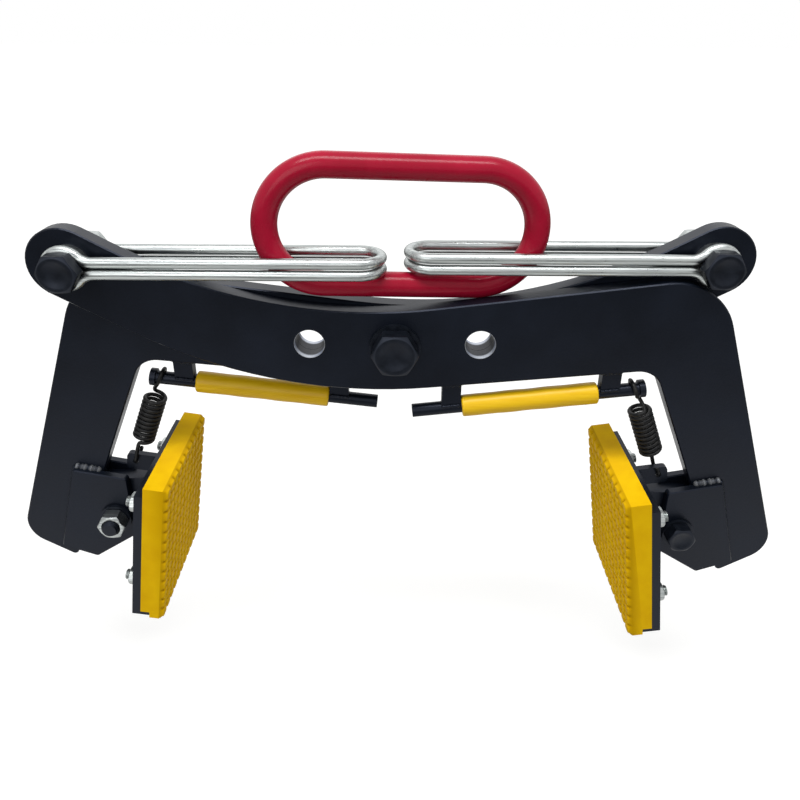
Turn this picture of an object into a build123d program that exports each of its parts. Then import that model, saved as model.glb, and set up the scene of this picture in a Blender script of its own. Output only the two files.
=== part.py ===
from build123d import *
import os
from math import atan2, cos, floor, pi, radians, sin, sqrt, tan

# Scissor clamp for kerb stones: two crossed plate arms on one pivot bolt, a folded rod link from each
# arm's lug to a lifting ring, and a sprung, hinged rubber pad on each leg.
# Sizes are in millimetres. The pivot axis runs along Y. X and Z are counted from the pivot while the
# pieces are made, and every piece is then lifted so that the pads stand on Z = 0.

# Whole part
jaw_opening = 418.0

# Clearances, and how far a cutter runs past what it cuts
cut_past = 1.0
running_gap = 0.05
arm_gap = 0.4
link_play = 0.3
seat_gap = 0.3
hook_gap = 0.6

# Arm plates
plate_thick = 16.0
edge_break = 1.0
lug_x = 264.5
lug_z = 73.2
lug_end_x = 271.0
lug_end_z = 73.5
lug_end_radius = 30.0
lug_slope = 29.0
flank_z = 31.5
flank_slope = 7.2
shoulder_x = 270.0
belly_depth = 42.2
under_slope = 5.4
knee_x = 227.0
leg_width = 62.5
leg_tail_out = 25.0
leg_tail_in = 55.0
seat_round = 440.0
belly_round = 440.0
shoulder_round = 58.0
leg_end_round = 26.0
knee_round = 22.0
corner_round = 4.0
spare_hole_x = 73.0
spare_hole_z = 3.0
spare_hole_diameter = 26.0

# Pivot bolt, M24
pivot_diameter = 24.0
pivot_flats = 36.0
pivot_head = 15.0
pivot_nut_height = 19.0
pivot_washer_diameter = 44.0
pivot_washer_thick = 4.0
pivot_tail = 5.0

# Lug bolts, M20
lug_bolt_diameter = 20.0
lug_bolt_flats = 30.0
lug_bolt_head = 12.5
lug_nut_height = 16.0
lug_spacer_diameter = 34.0
lug_spacer_thick = 5.5
lug_bolt_tail = 4.0

# Rod links and lifting ring
rod_diameter = 9.0
rod_pair_pitch = 9.8
link_bend_radius = 16.0
link_tip_x = 7.0
ring_bar = 21.5
ring_width = 246.0
ring_height = 120.0
ring_shift = 6.0
ring_yaw = 5.0
ring_roll = 2.4

# Pad hinge, M16, between two bracket plates
pad_pivot_drop = 190.0
pad_tilt = 8.9
hinge_reach = 28.4
hinge_diameter = 16.0
hinge_flats = 24.0
hinge_head = 10.0
hinge_nut_height = 13.0
hinge_washer_diameter = 30.0
hinge_washer_thick = 3.0
hinge_tail = 4.0
bracket_thick = 8.0
bracket_up_out = 55.0
bracket_up_in = 45.0
bracket_down_out = 36.0
bracket_down = 49.0
bracket_out_top = 34.0
bracket_out_low = 60.0
bracket_in = 16.0
bracket_chamfer_x = 27.0
bracket_chamfer_z = 21.5
bracket_round = 3.0

# Pad: backing plate with a bottom ledge, hinge lug, spring tab and rubber block
backing_x = 32.0
backing_thick = 8.0
backing_top_inset = 10.0
backing_low_inset = 2.0
backing_side_inset = 1.0
ledge_length = 8.5
ledge_thick = 4.5
pad_height = 151.0
pad_width = 130.0
pad_rise = 2.5
rubber_thick = 22.0
rubber_round = 2.0
knob_pitch = 11.0
knob_gap = 3.2
knob_depth = 2.5
hinge_lug_side_gap = 0.4
hinge_lug_radius = 19.0
hinge_lug_up = 46.0
hinge_lug_down = 24.0
heel_up = 40.0
heel_length = 14.0
tab_thick = 6.0
tab_length = 27.0
tab_low = 50.5
tab_high = 68.0
tab_hole_x = 13.5
tab_hole_z = 59.5
stud_diameter = 10.0
stud_spread_y = 45.0
stud_spread_z = 44.0
stud_depth = 12.0
stud_tail = 4.0
stud_nut_flats = 16.0
stud_nut_height = 8.0

# Handle on each arm's underside
handle_depth = 68.6
handle_slope = 6.8
handle_bar_diameter = 12.0
handle_inner_x = 16.0
handle_knee_gap = 5.0
handle_collar_diameter = 16.0
handle_collar_length = 5.0
grip_diameter = 20.0
hanger_width = 17.0
hanger_thick = 10.0
inner_hanger_x = 50.5
outer_hanger_x = 190.5

# Pad springs: one unbroken wire with a hook at each end
spring_wire = 3.6
spring_diameter = 21.5
spring_turns = 11
spring_pitch = 4.6
spring_hook_inset = 4.0
lower_hook_radius = 7.0
hook_opening = 60.0

# Derived places
arm_mid_y = arm_gap / 2 + plate_thick / 2
rod_radius = rod_diameter / 2
rod_half_pitch = rod_pair_pitch / 2
link_half_width = plate_thick / 2 + lug_spacer_thick + link_play + rod_radius
link_length = lug_x - link_tip_x
rubber_x = backing_x + backing_thick
face_x = rubber_x + rubber_thick
pad_pivot_x = jaw_opening / 2 + face_x
leg_inner_x = pad_pivot_x + hinge_reach
leg_outer_x = leg_inner_x + leg_width
pad_low = pad_rise - pad_height / 2
pad_high = pad_rise + pad_height / 2
pivot_height = pad_pivot_drop + face_x * sin(radians(pad_tilt)) - pad_low * cos(radians(pad_tilt))
ring_end_radius = ring_height / 2 - ring_bar / 2
ring_half_straight = ring_width / 2 - ring_height / 2
lug_half_width = link_half_width + rod_radius + link_play
hinge_half_width = plate_thick / 2 + bracket_thick
handle_outer_x = knee_x - handle_knee_gap
spring_hook_x = handle_outer_x - handle_collar_length - spring_hook_inset
grip_inset = hanger_width / 2 + seat_gap + grip_diameter / 2 * sin(radians(handle_slope))
hook_rise = lower_hook_radius - sqrt(lower_hook_radius**2 - tab_thick**2 / 4)


def under_z(x):
    """Height of an arm's straight underside at a distance x from the pivot, towards its leg."""
    return x * tan(radians(under_slope)) - belly_depth


def flank_top(x):
    """Height of an arm's straight top edge, between the dip and the shoulder, at a distance x."""
    return x * tan(radians(flank_slope)) + flank_z


def leg_inner_at(z):
    """X of the leg's inner edge at height z: the straight line from the knee past the pad hinge."""
    knee_z = under_z(knee_x)
    share = (z - knee_z) / (-pad_pivot_drop - knee_z)
    return knee_x + share * (leg_inner_x - knee_x)


def leg_outer_at(z):
    """X of the leg's outer edge at height z: the straight line from the shoulder past the pad hinge."""
    shoulder_z = flank_top(shoulder_x)
    share = (z - shoulder_z) / (-pad_pivot_drop - shoulder_z)
    return shoulder_x + share * (leg_outer_x - shoulder_x)


def rounded_outline(corners):
    """Closed wire in the XZ plane through corners (x, z, radius), with each corner as a tangent arc."""
    points = [Vector(x, 0, z) for x, z, radius in corners]
    spans = []
    for index, (x, z, radius) in enumerate(corners):
        here = points[index]
        back = (points[index - 1] - here).normalized()
        ahead = (points[(index + 1) % len(points)] - here).normalized()
        half = radians(back.get_angle(ahead)) / 2
        reach = radius / tan(half)
        middle = here + (back + ahead).normalized() * (radius / sin(half) - radius)
        spans.append((here + back * reach, middle, here + ahead * reach))
    edges = []
    for index, (start, middle, end) in enumerate(spans):
        before = spans[index - 1][2]
        if (start - before).length > 0.001:
            edges.append(Line(before, start))
        if (end - start).length > 0.001:
            edges.append(ThreePointArc(start, middle, end))
    return Wire(edges)


def flat_plate(corners, y_low, thick):
    """Plate with a rounded outline in XZ, from y_low to y_low + thick."""
    return Pos(0, y_low, 0) * extrude(Face(rounded_outline(corners)), thick, dir=(0, 1, 0))


def broken_edges(plate):
    """Plate with a small chamfer round the outline of both its faces."""
    return chamfer(plate.faces().filter_by(Axis.Y).edges(), edge_break)


def round_bar(start, end, diameter):
    """Straight round bar from start to end."""
    start = Vector(start)
    run = Vector(end) - start
    return extrude(Plane(start, z_dir=run) * Circle(diameter / 2), run.length)


def cross_bar(x, z, y_low, y_high, diameter):
    """Round bar along Y at x, z."""
    return round_bar((x, y_low, z), (x, y_high, z), diameter)


def hex_prism(flats, height, both_ends):
    """Hexagon standing on Z = 0, its corners trimmed at the top, or at both ends, by a 30 degree cone."""
    prism = extrude(RegularPolygon(flats / 2, 6, major_radius=False), height)
    face_radius = 0.475 * flats
    wide_radius = face_radius + height * tan(radians(60))
    trim = Pos(0, 0, height / 2) * Cone(wide_radius, face_radius, height)
    prism = prism & trim
    if both_ends:
        prism = prism & (Pos(0, 0, height / 2) * Cone(face_radius, wide_radius, height))
    return prism


def facing(x, y, z, outward):
    """Location at x, y, z whose own Z points along Y, outward -1 or +1."""
    return Plane((x, y, z), x_dir=(1, 0, 0), z_dir=(0, outward, 0)).location


def hex_bolt(diameter, flats, head, length):
    """Bolt with its head above Z = 0 and its shank below."""
    shank = Pos(0, 0, -length / 2) * Cylinder(diameter / 2, length)
    return hex_prism(flats, head, False) + shank


def hex_nut(diameter, flats, height):
    """Nut standing on Z = 0."""
    bore = Cylinder(diameter / 2 + running_gap, 3 * height)
    return hex_prism(flats, height, True) - bore


def bolt_and_nut(x, mid_y, z, head_side, half_width, diameter, flats, head, nut_height, tail):
    """Bolt along Y at x, z, its head on the side -1 or +1, and its nut, clamping 2 * half_width."""
    head_seat = facing(x, mid_y + head_side * half_width, z, head_side)
    nut_seat = facing(x, mid_y - head_side * half_width, z, -head_side)
    bolt = head_seat * hex_bolt(diameter, flats, head, 2 * half_width + nut_height + tail)
    return bolt, nut_seat * hex_nut(diameter, flats, nut_height)


def washer_pair(x, mid_y, z, half_width, bore, diameter, thick):
    """Two washers along Y at x, z, seated on faces 2 * half_width apart."""
    ring = extrude(Circle(diameter / 2) - Circle(bore / 2 + running_gap), thick)
    return [facing(x, mid_y + side * half_width, z, side) * ring for side in (-1, 1)]


def lug_line_meets(corner, height, slope):
    """X where a line down the lug's slope from a corner meets one that rises from a height over the pivot."""
    fall = tan(radians(lug_slope))
    return (corner[1] + corner[0] * fall - height) / (tan(radians(slope)) + fall)


def arm_plate():
    """Front arm plate: lug at the left, dip for the ring, shoulder and leg at the right, and its holes."""
    slope = radians(lug_slope)
    along = (cos(slope), -sin(slope))
    upward = (sin(slope), cos(slope))
    lug_top = (
        -lug_end_x + lug_end_radius * (upward[0] - along[0]),
        lug_end_z + lug_end_radius * (upward[1] - along[1]),
    )
    lug_low = (
        -lug_end_x - lug_end_radius * (upward[0] + along[0]),
        lug_end_z - lug_end_radius * (upward[1] + along[1]),
    )
    dip_x = lug_line_meets(lug_top, flank_z, flank_slope)
    belly_x = lug_line_meets(lug_low, -belly_depth, under_slope)
    tail_out_z = -pad_pivot_drop - leg_tail_out
    tail_in_z = -pad_pivot_drop - leg_tail_in
    corners = [
        (lug_low[0], lug_low[1], lug_end_radius),
        (lug_top[0], lug_top[1], lug_end_radius),
        (dip_x, flank_top(dip_x), seat_round),
        (shoulder_x, flank_top(shoulder_x), shoulder_round),
        (leg_outer_at(tail_out_z), tail_out_z, leg_end_round),
        (leg_inner_at(tail_in_z), tail_in_z, corner_round),
        (knee_x, under_z(knee_x), knee_round),
        (belly_x, under_z(belly_x), belly_round),
    ]
    y_low = -arm_mid_y - plate_thick / 2
    y_high = y_low + plate_thick
    plate = broken_edges(flat_plate(corners, y_low, plate_thick))
    holes = [
        (0, 0, pivot_diameter + 2 * running_gap),
        (-spare_hole_x, spare_hole_z, spare_hole_diameter),
        (spare_hole_x, spare_hole_z, spare_hole_diameter),
        (-lug_x, lug_z, lug_bolt_diameter + 2 * running_gap),
    ]
    for x, z, diameter in holes:
        plate -= cross_bar(x, z, y_low - cut_past, y_high + cut_past, diameter)
    return plate


def rod_link():
    """Left link: a rod loop with an eye round the lug bolt at each side, folded in half at its far end.

    The half at -Y is one swept rod. Its own frame has the lug bolt on Y through the origin and the fold
    along +X, and the other half is its mirror image.
    """
    eye = lug_bolt_diameter / 2 + link_play + rod_radius
    bend = link_bend_radius
    side = -link_half_width
    top = rod_half_pitch
    fold_x = link_length - rod_radius - link_half_width
    bend_x = sqrt((eye + bend) ** 2 - (top + bend) ** 2)
    tangent = atan2(top + bend, bend_x)
    middle = tangent / 2 - pi * 3 / 4
    bend_mid_x = bend_x + bend * cos(middle)
    bend_mid_z = top + bend + bend * sin(middle)
    touch_x = eye * cos(tangent)
    touch_z = eye * sin(tangent)
    upper_eye = (tangent + pi) / 2
    corner = link_half_width * sqrt(0.5)
    edges = [
        ThreePointArc(
            (fold_x + link_half_width, 0, top), (fold_x + corner, -corner, top), (fold_x, side, top)
        ),
        Line((fold_x, side, top), (bend_x, side, top)),
        ThreePointArc((bend_x, side, top), (bend_mid_x, side, bend_mid_z), (touch_x, side, touch_z)),
        ThreePointArc(
            (touch_x, side, touch_z),
            (eye * cos(upper_eye), side, eye * sin(upper_eye)),
            (-eye, side, 0),
        ),
        ThreePointArc(
            (-eye, side, 0),
            (eye * cos(upper_eye), side, -eye * sin(upper_eye)),
            (touch_x, side, -touch_z),
        ),
        ThreePointArc((touch_x, side, -touch_z), (bend_mid_x, side, -bend_mid_z), (bend_x, side, -top)),
        Line((bend_x, side, -top), (fold_x, side, -top)),
        ThreePointArc(
            (fold_x, side, -top), (fold_x + corner, -corner, -top), (fold_x + link_half_width, 0, -top)
        ),
    ]
    path = Wire(edges)
    start = Plane((fold_x + link_half_width, 0, top), z_dir=(0, -1, 0))
    half = sweep(start * Circle(rod_radius), path=path)
    print("link rod volume over section times length", half.volume / (pi * rod_radius**2 * path.length))
    return Pos(-lug_x, -arm_mid_y, lug_z) * (half + mirror(half, about=Plane.XZ))


def ring_place(height):
    """Place of the ring with its middle at a height: turned and tipped a little, and off the middle."""
    return Pos(ring_shift, 0, height) * Rot(0, 0, ring_yaw) * Rot(0, ring_roll, 0)


def ring_seat():
    """Height of the ring's middle at which its bar just clears the rising top edges of both plates."""
    reach = ring_bar / 2 + seat_gap
    highest = flank_z + reach + ring_end_radius
    for side in (-1, 1):
        for turn in range(91):
            x = side * (ring_half_straight + ring_end_radius * sin(radians(turn)))
            bar = (ring_place(0) * Pos(x, 0, -ring_end_radius * cos(radians(turn)))).position
            beyond = max(side * bar.Y + arm_gap / 2 + edge_break, 0)
            if beyond < reach:
                rise = sqrt(reach**2 - beyond**2) / cos(radians(flank_slope))
                highest = max(highest, flank_top(side * bar.X) + rise - bar.Z)
    return highest


def lifting_ring():
    """Stadium ring of round bar lying on the plates, turned so that each end is in its own link."""
    section = Plane((0, 0, ring_end_radius), z_dir=(1, 0, 0)) * Circle(ring_bar / 2)
    bend = revolve(section, Axis.Y, 180)
    run = Pos(0, 0, ring_end_radius) * Rot(0, 90, 0) * Cylinder(ring_bar / 2, 2 * ring_half_straight)
    half = run + Pos(ring_half_straight, 0, 0) * bend
    ring = half + Rot(0, 180, 0) * half
    return ring_place(ring_seat()) * ring


def bracket_plates():
    """Pair of plates welded on the faces of the right leg, with the pad hinge's hole."""
    x = pad_pivot_x
    z = -pad_pivot_drop
    corners = [
        (x - bracket_in, z + bracket_up_in, bracket_round),
        (x + bracket_out_top, z + bracket_up_out, bracket_round),
        (x + bracket_out_low, z - bracket_down_out, bracket_round),
        (x + bracket_chamfer_x, z - bracket_down, bracket_round),
        (x - bracket_in, z - bracket_chamfer_z, bracket_round),
    ]
    plates = []
    for y_low in (-arm_mid_y - plate_thick / 2 - bracket_thick, -arm_mid_y + plate_thick / 2):
        plate = broken_edges(flat_plate(corners, y_low, bracket_thick))
        bore = hinge_diameter + 2 * running_gap
        hole = cross_bar(x, z, y_low - cut_past, y_low + bracket_thick + cut_past, bore)
        plates.append(plate - hole)
    return plates


def in_pad(shape):
    """Right pad's place: its own +X, which faces the stone, turns to -X and tips down by the pad's tilt."""
    turn = Rot(0, 0, 180) * Rot(0, pad_tilt, 0)
    return Pos(pad_pivot_x, -arm_mid_y, -pad_pivot_drop) * turn * shape


def pad_block(x_low, x_high, half_y, z_low, z_high):
    """Box in the pad's own frame, symmetric about the hinge in Y."""
    size = Box(x_high - x_low, 2 * half_y, z_high - z_low)
    return Pos((x_low + x_high) / 2, 0, (z_low + z_high) / 2) * size


def stud_places():
    """Y and Z of the four studs in the pad's own frame."""
    return [
        (y, pad_rise + z)
        for y in (-stud_spread_y, stud_spread_y)
        for z in (-stud_spread_z, stud_spread_z)
    ]


def stud_hole(y, z):
    """Cutter for one stud, through the backing and into the rubber."""
    end = rubber_x + stud_depth
    return round_bar((backing_x - cut_past, y, z), (end, y, z), stud_diameter + 2 * running_gap)


def backing_plate():
    """Steel plate behind the rubber, with a short ledge under the rubber's rebate."""
    half_y = pad_width / 2 - backing_side_inset
    z_low = pad_low + backing_low_inset
    plate = pad_block(backing_x, rubber_x, half_y, z_low, pad_high - backing_top_inset)
    plate += pad_block(backing_x, rubber_x + ledge_length, half_y, z_low, z_low + ledge_thick)
    for y, z in stud_places():
        plate -= stud_hole(y, z)
    return plate


def rubber_block():
    """Rubber block with a rebate for the ledge, stud holes and a face cut into rows of square knobs."""
    half_y = pad_width / 2
    block = pad_block(rubber_x, face_x, half_y, pad_low, pad_high)
    block = fillet(block.edges().filter_by(Axis.X), rubber_round)
    rebate_top = pad_low + backing_low_inset + ledge_thick
    past_y = half_y + cut_past
    past_face = face_x + cut_past
    past_low = pad_low - cut_past
    block -= pad_block(rubber_x - cut_past, rubber_x + ledge_length, past_y, past_low, rebate_top)
    for y, z in stud_places():
        block -= stud_hole(y, z)
    rows = floor(pad_height / knob_pitch)
    columns = floor(pad_width / knob_pitch)
    cut_x = face_x - knob_depth
    grooves = []
    for row in range(1, rows):
        z = pad_low + row * pad_height / rows
        grooves.append(pad_block(cut_x, past_face, past_y, z - knob_gap / 2, z + knob_gap / 2))
    for column in range(1, columns):
        y = column * pad_width / columns - half_y
        groove = pad_block(cut_x, past_face, knob_gap / 2, past_low, pad_high + cut_past)
        grooves.append(Pos(0, y, 0) * groove)
    return block - grooves


def hinge_lug():
    """Lug behind the backing, bored for the hinge, with a heel that stops on the leg's inner edge."""
    lean = atan2(leg_inner_x - knee_x, under_z(knee_x) + pad_pivot_drop)
    tilt = radians(pad_tilt)

    def heel(up):
        """Point of the heel's flat at a height above the hinge, in the pad's own frame."""
        inward = pad_pivot_x - leg_inner_at(up - pad_pivot_drop) + seat_gap / cos(lean)
        return inward * cos(tilt) - up * sin(tilt), inward * sin(tilt) + up * cos(tilt)

    heel_top = heel(heel_up)
    heel_low = heel(heel_up - heel_length * cos(lean))
    corners = [
        (backing_x, -hinge_lug_down, 0),
        (backing_x, hinge_lug_up, 0),
        (heel_top[0], heel_top[1], corner_round),
        (heel_low[0], heel_low[1], corner_round),
        (-hinge_lug_radius, -hinge_lug_radius / 2, hinge_lug_radius / 2),
        (-hinge_lug_radius / 3, -hinge_lug_radius, hinge_lug_radius / 2),
    ]
    half_y = plate_thick / 2 - hinge_lug_side_gap
    lug = flat_plate(corners, -half_y, 2 * half_y)
    return lug - cross_bar(0, 0, -plate_thick, plate_thick, hinge_diameter + 2 * running_gap)


def spring_tab():
    """Thin tab on the backing's back, above the hinge lug, with the hole for the spring's lower hook."""
    corners = [
        (backing_x, tab_low, 0),
        (backing_x, tab_high, 0),
        (backing_x - tab_length, tab_high, corner_round),
        (backing_x - tab_length, tab_low, corner_round),
    ]
    tab = flat_plate(corners, -tab_thick / 2, tab_thick)
    hole = spring_wire + 2 * hook_gap + hook_rise
    return tab - cross_bar(tab_hole_x, tab_hole_z, -tab_thick, tab_thick, hole)


def pad_studs():
    """Four studs moulded into the rubber, with their free ends behind the backing."""
    back = backing_x - stud_nut_height - stud_tail
    front = rubber_x + stud_depth
    return [round_bar((back, y, z), (front, y, z), stud_diameter) for y, z in stud_places()]


def pad_stud_nuts():
    """Nut on each stud, seated on the backing's back."""
    nut = Rot(0, -90, 0) * hex_nut(stud_diameter, stud_nut_flats, stud_nut_height)
    return [Pos(backing_x, y, z) * nut for y, z in stud_places()]


def handle_point(x, y):
    """Point on the right handle's bar, which rises outward under the arm."""
    return Vector(x, y, x * tan(radians(handle_slope)) - handle_depth)


def handle_bar():
    """Round bar under the right arm, with an end collar that keeps the spring's hook on."""
    y = -arm_mid_y
    bar = round_bar(handle_point(handle_inner_x, y), handle_point(handle_outer_x, y), handle_bar_diameter)
    collar_start = handle_point(handle_outer_x - handle_collar_length, y)
    return bar + round_bar(collar_start, handle_point(handle_outer_x, y), handle_collar_diameter)


def handle_grip():
    """Plastic sleeve on the bar, between the hangers."""
    y = -arm_mid_y
    start = handle_point(inner_hanger_x + grip_inset, y)
    end = handle_point(outer_hanger_x - grip_inset, y)
    bore = handle_bar_diameter + 2 * running_gap
    return round_bar(start, end, grip_diameter) - round_bar(start, end, bore)


def handle_hangers():
    """Two flat hangers from the arm's underside, each ending as a saddle on the bar."""
    y = -arm_mid_y
    bore = handle_bar_diameter + 2 * running_gap
    hangers = []
    for middle in (inner_hanger_x, outer_hanger_x):
        left = middle - hanger_width / 2
        right = middle + hanger_width / 2
        corners = [
            (left, handle_point(left, y).Z, 0),
            (right, handle_point(right, y).Z, 0),
            (right, under_z(right), 0),
            (left, under_z(left), 0),
        ]
        hanger = flat_plate(corners, y - hanger_thick / 2, hanger_thick)
        hole = round_bar(handle_point(left - cut_past, y), handle_point(right + cut_past, y), bore)
        hangers.append(hanger - hole)
    return hangers


def biarc(start, start_way, end, end_way):
    """Two arcs that leave start along start_way, arrive at end along end_way and share a tangent."""
    across = end - start
    both = start_way + end_way
    spread = 2 * (1 - start_way.dot(end_way))
    pull = across.dot(both)
    if spread < 1e-9:
        reach = across.dot(across) / (4 * across.dot(end_way))
    else:
        reach = (sqrt(pull**2 + spread * across.dot(across)) - pull) / spread
    middle = (start + start_way * reach + end - end_way * reach) * 0.5
    first = TangentArc(start, middle, tangent=start_way)
    second = TangentArc(middle, end, tangent=first % 1)
    return [first, second]


def least_self_gap(path, wire):
    """Least gap between stretches of a wire that lie further apart along it than four wires."""
    count = int(path.length / (wire / 4))
    step = path.length / count
    points = [tuple(path @ (index / count)) for index in range(count + 1)]
    skip = int(4 * wire / step)
    least = path.length
    for index, here in enumerate(points):
        for there in points[index + skip :]:
            apart = sqrt(sum((a - b) ** 2 for a, b in zip(here, there)))
            least = min(least, apart)
    return least - wire


def pad_spring():
    """Right spring: lower hook through the tab's hole, closed-wound body, upper hook round the handle bar.

    Its own frame has the lower hook's lowest point at the origin and the spring's axis along +Z. Both
    hooks lie in its YZ plane.
    """
    tilt = radians(pad_tilt)
    low_x = pad_pivot_x - tab_hole_x * cos(tilt) - tab_hole_z * sin(tilt)
    low_z = -pad_pivot_drop - tab_hole_x * sin(tilt) + tab_hole_z * cos(tilt)
    high = handle_point(spring_hook_x, -arm_mid_y)
    low = Vector(low_x, -arm_mid_y, low_z)
    span = (high - low).length
    coil = (spring_diameter - spring_wire) / 2
    lower = lower_hook_radius
    upper = handle_bar_diameter / 2 + hook_gap + spring_wire / 2
    body = spring_turns * spring_pitch
    body_low = (span + 2 * lower - upper - body) / 2
    climb = atan2(spring_pitch, 2 * pi * coil)
    opening = radians(hook_opening)

    def hook(centre_z, radius, turn):
        """Point and direction on a hook's circle, turn counted from its side at -Y, going under first."""
        point = Vector(0, -radius * cos(turn), centre_z - radius * sin(turn))
        return point, Vector(0, sin(turn), -cos(turn))

    def winding(quarter):
        """Point and direction on the coil after so many quarter turns."""
        angle = quarter * pi / 2
        point = Vector(coil * cos(angle), coil * sin(angle), body_low + quarter * spring_pitch / 4)
        way = Vector(-sin(angle) * cos(climb), cos(angle) * cos(climb), sin(climb))
        return point, way

    stations = [hook(lower, lower, turn) for turn in (opening - pi / 2, 0, pi / 2, pi)]
    stations += [winding(quarter) for quarter in range(1, 4 * spring_turns)]
    stations += [
        (Vector(0, upper, span), Vector(0, 0, 1)),
        (Vector(0, 0, span + upper), Vector(0, -1, 0)),
        (Vector(0, -upper, span), Vector(0, 0, -1)),
        (
            Vector(0, -upper * sin(opening), span - upper * cos(opening)),
            Vector(0, cos(opening), -sin(opening)),
        ),
    ]
    edges = []
    for (start, start_way), (end, end_way) in zip(stations, stations[1:]):
        edges += biarc(start, start_way, end, end_way)
    path = Wire(edges)
    print("spring self gap", round(least_self_gap(path, spring_wire), 2), "mm")
    wire = sweep(Plane(stations[0][0], z_dir=stations[0][1]) * Circle(spring_wire / 2), path=path)
    print("spring volume over section times length", wire.volume / (pi * spring_wire**2 / 4 * path.length))
    place = Plane(low, x_dir=Vector(0, 1, 0).cross(high - low), z_dir=high - low)
    return place.location * wire


def save(name, shape):
    """Write one piece, lifted so that the pads stand on Z = 0."""
    solids = shape if isinstance(shape, list) else [shape]
    raised = [Pos(0, 0, pivot_height) * solid for solid in solids]
    export_step(raised[0] if len(raised) == 1 else Compound(raised), f"parts/{name}.step")


def pivot_pieces():
    """Bolt, nut and washers of the main pivot."""
    half_width = arm_gap / 2 + plate_thick
    outer = half_width + pivot_washer_thick
    head, nut, tail = pivot_head, pivot_nut_height, pivot_tail
    bolt, nut = bolt_and_nut(0, 0, 0, -1, outer, pivot_diameter, pivot_flats, head, nut, tail)
    size = pivot_washer_diameter
    washers = washer_pair(0, 0, 0, half_width, pivot_diameter, size, pivot_washer_thick)
    return {"pivot_bolt": bolt, "pivot_nut": nut, "pivot_washers": washers}


def lug_pieces(head_side):
    """Bolt, nut and spacers of the left lug, with room for the link's eyes outside the spacers."""
    x, y, z = -lug_x, -arm_mid_y, lug_z
    head, nut, tail = lug_bolt_head, lug_nut_height, lug_bolt_tail
    size = lug_bolt_diameter
    bolt, nut = bolt_and_nut(x, y, z, head_side, lug_half_width, size, lug_bolt_flats, head, nut, tail)
    spacers = washer_pair(x, y, z, plate_thick / 2, size, lug_spacer_diameter, lug_spacer_thick)
    return {"LUG_lug_bolt": bolt, "LUG_lug_nut": nut, "LUG_lug_spacers": spacers}


def hinge_pieces():
    """Bolt, nut and washers of the right pad's hinge, outside its bracket plates."""
    x, y, z = pad_pivot_x, -arm_mid_y, -pad_pivot_drop
    outer = hinge_half_width + hinge_washer_thick
    head, nut, tail = hinge_head, hinge_nut_height, hinge_tail
    bolt, nut = bolt_and_nut(x, y, z, -1, outer, hinge_diameter, hinge_flats, head, nut, tail)
    size = hinge_washer_diameter
    washers = washer_pair(x, y, z, hinge_half_width, hinge_diameter, size, hinge_washer_thick)
    return {"LEG_hinge_bolt": bolt, "LEG_hinge_nut": nut, "LEG_hinge_washers": washers}


def arm_pieces(lug_head_side):
    """All pieces of the front arm and what hangs on it: left link, right handle, spring and pad."""
    outer_bracket, inner_bracket = bracket_plates()
    return {
        "ARM_plate": arm_plate(),
        **lug_pieces(lug_head_side),
        **hinge_pieces(),
        "LEG_outer_bracket": outer_bracket,
        "LEG_inner_bracket": inner_bracket,
        "LEG_handle_bar": handle_bar(),
        "LEG_handle_hangers": handle_hangers(),
        "LEG_handle_grip": handle_grip(),
        "LEG_pad_spring": pad_spring(),
        "LUG_link": rod_link(),
        "LEG_backing_plate": in_pad(backing_plate()),
        "LEG_hinge_lug": in_pad(hinge_lug()),
        "LEG_spring_tab": in_pad(spring_tab()),
        "LEG_rubber_pad": in_pad(rubber_block()),
        "LEG_pad_studs": [in_pad(stud) for stud in pad_studs()],
        "LEG_pad_nuts": [in_pad(nut) for nut in pad_stud_nuts()],
    }


def turned(shape, angle):
    """Shape, or each of a list of shapes, turned about the vertical axis through the pivot."""
    if isinstance(shape, list):
        return [Rot(0, 0, angle) * part for part in shape]
    return Rot(0, 0, angle) * shape


os.makedirs("parts", exist_ok=True)
for name, piece in pivot_pieces().items():
    save(name, piece)
save("lifting_ring", lifting_ring())
for angle, arm, lug, leg, head_side in (
    (0, "front", "left", "right", -1),
    (180, "rear", "right", "left", 1),
):
    for name, piece in arm_pieces(head_side).items():
        label = name.replace("ARM", arm).replace("LUG", lug).replace("LEG", leg)
        save(label, turned(piece, angle))
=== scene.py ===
from math import atan2, cos, pi, radians, sin, sqrt, tan

import bpy
import numpy as np
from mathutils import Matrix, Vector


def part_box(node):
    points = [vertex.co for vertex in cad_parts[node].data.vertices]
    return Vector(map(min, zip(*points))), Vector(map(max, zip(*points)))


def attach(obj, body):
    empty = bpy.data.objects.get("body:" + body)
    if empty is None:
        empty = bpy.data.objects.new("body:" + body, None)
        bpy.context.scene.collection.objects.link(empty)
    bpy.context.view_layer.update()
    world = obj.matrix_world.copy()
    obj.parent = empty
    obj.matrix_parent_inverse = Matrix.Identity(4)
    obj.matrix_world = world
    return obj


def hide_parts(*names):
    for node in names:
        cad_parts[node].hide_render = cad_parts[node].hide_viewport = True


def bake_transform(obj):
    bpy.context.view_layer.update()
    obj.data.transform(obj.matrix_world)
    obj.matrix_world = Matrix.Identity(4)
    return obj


# Stone lifting clamp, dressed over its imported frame. Sizes are in millimetres and counted from the
# pivot axis. Each piece of the front arm and what hangs on it (left lug and link, right handle, spring
# and pad) has one shape, and the rear arm's piece is that shape turned half round the vertical axis.
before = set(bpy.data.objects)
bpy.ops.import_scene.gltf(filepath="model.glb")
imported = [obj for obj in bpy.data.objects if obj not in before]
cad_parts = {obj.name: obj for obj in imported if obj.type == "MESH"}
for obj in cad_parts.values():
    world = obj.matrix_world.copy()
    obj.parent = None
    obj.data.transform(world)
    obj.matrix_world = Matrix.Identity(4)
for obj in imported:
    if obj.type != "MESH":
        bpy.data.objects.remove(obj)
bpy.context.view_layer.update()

mm = 0.001
pivot = np.mean(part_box("pivot_washers"), axis=0)

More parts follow.
